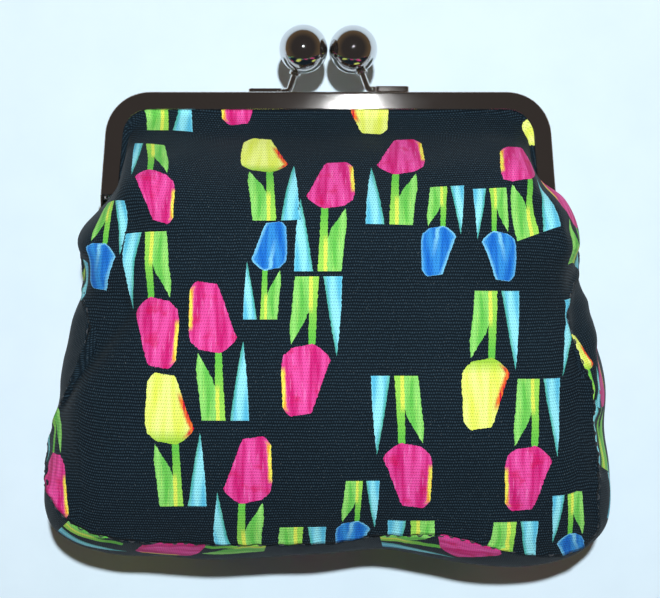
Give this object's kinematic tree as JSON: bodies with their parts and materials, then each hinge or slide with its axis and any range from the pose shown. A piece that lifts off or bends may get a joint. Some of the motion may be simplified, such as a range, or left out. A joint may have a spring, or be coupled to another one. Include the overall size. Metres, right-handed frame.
{
  "type": "coin purse",
  "caption": "Stuffed fabric coin purse with a riveted metal snap frame: crossed ball clasp, cloth glued in the channels, boxed side strip and a hinged front half.",
  "frame": {"origin": "centre of the bounding box at the level of the surface the purse lies on", "axes": "+X across the purse to the right as seen from the front, +Y from the bag's bottom to the clasp, +Z out of the front panel and up"},
  "size_m": [0.1308, 0.1254, 0.059],
  "materials": {
    "frame_nickel": "polished nickel plate on bent steel sheet, with fine handling scratches",
    "rivet_nickel": "nickel-plated steel rivets, slightly duller than the frame",
    "clasp_nickel": "mirror-polished nickel-plated balls and collars",
    "paper_cord": "twisted kraft paper cord with glue",
    "printed_fabric": "ribbed cotton canvas, near-black ground with a tulip print in pink, yellow, blue and green",
    "interlining": "soft white needled wadding",
    "lining_fabric": "plain dark cotton lining"
  },
  "bodies": {
    "bag_and_rear_frame": {"rear_frame": "frame_nickel", "left_hinge_rivet": "rivet_nickel", "right_hinge_rivet": "rivet_nickel", "rear_clasp_arm": "frame_nickel", "rear_clasp_collar": "clasp_nickel", "rear_clasp_ball": "clasp_nickel", "rear_paper_cord": "paper_cord", "front_panel_lower": "printed_fabric", "rear_panel": "printed_fabric", "gusset": "printed_fabric", "front_interlining_lower": "interlining", "rear_interlining": "interlining", "gusset_interlining": "interlining", "front_lining_lower": "lining_fabric", "rear_lining": "lining_fabric", "gusset_lining": "lining_fabric"},
    "front_half": {"front_frame": "frame_nickel", "front_clasp_arm": "frame_nickel", "front_clasp_collar": "clasp_nickel", "front_clasp_ball": "clasp_nickel", "front_paper_cord": "paper_cord", "front_panel_upper": "printed_fabric", "front_interlining_upper": "interlining", "front_lining_upper": "lining_fabric"}
  },
  "joints": [
    {"name": "frame_hinge", "type": "hinge", "parent": "bag_and_rear_frame", "child": "front_half", "pos_m": [0, 0.0185, 0.025], "axis": [1, 0, 0], "range_deg": [0, 90], "deforming": ["front_panel_upper", "front_interlining_upper", "front_lining_upper"]}
  ]
}
